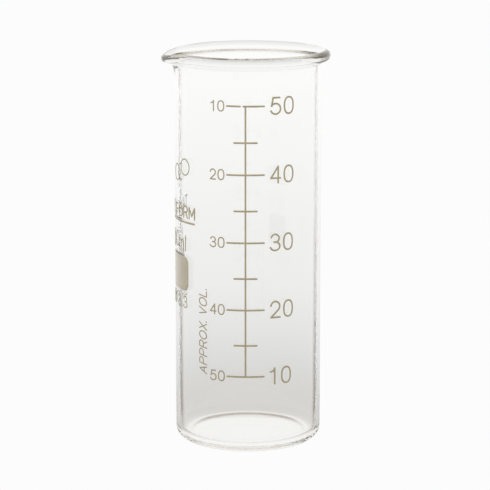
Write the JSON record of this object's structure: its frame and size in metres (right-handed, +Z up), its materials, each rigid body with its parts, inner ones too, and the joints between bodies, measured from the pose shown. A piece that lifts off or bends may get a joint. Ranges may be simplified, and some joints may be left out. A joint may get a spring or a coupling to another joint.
{
  "type": "beaker",
  "caption": "Tall narrow borosilicate glass beaker with a flared beaded rim, a small pouring spout, a pushed-up base and a fired tan enamel volume scale.",
  "frame": {"origin": "centre of the flat ring that the base stands on", "axes": "+Z up the beaker's axis, -X towards the pouring spout, -Y towards the volume scale"},
  "size_m": [0.0368, 0.0358, 0.0865],
  "materials": {
    "borosilicate_glass": "clear, fire-polished",
    "scale_enamel": "screen-printed ceramic enamel, fired, satin",
    "spot_enamel": "screen-printed ceramic enamel, fired, matt enough to write on"
  },
  "bodies": {
    "root": {"glass_vessel": "borosilicate_glass", "graduation_ladder": "scale_enamel", "fill_numeral_10": "scale_enamel", "fill_numeral_20": "scale_enamel", "fill_numeral_30": "scale_enamel", "fill_numeral_40": "scale_enamel", "fill_numeral_50": "scale_enamel", "pour_numeral_10": "scale_enamel", "pour_numeral_20": "scale_enamel", "pour_numeral_30": "scale_enamel", "pour_numeral_40": "scale_enamel", "pour_numeral_50": "scale_enamel", "volume_legend": "scale_enamel", "marking_spot": "spot_enamel", "capacity_mark": "scale_enamel", "title_text": "scale_enamel", "title_rule": "scale_enamel", "glass_grade_mark": "scale_enamel", "ring_emblem": "scale_enamel"}
  },
  "joints": []
}
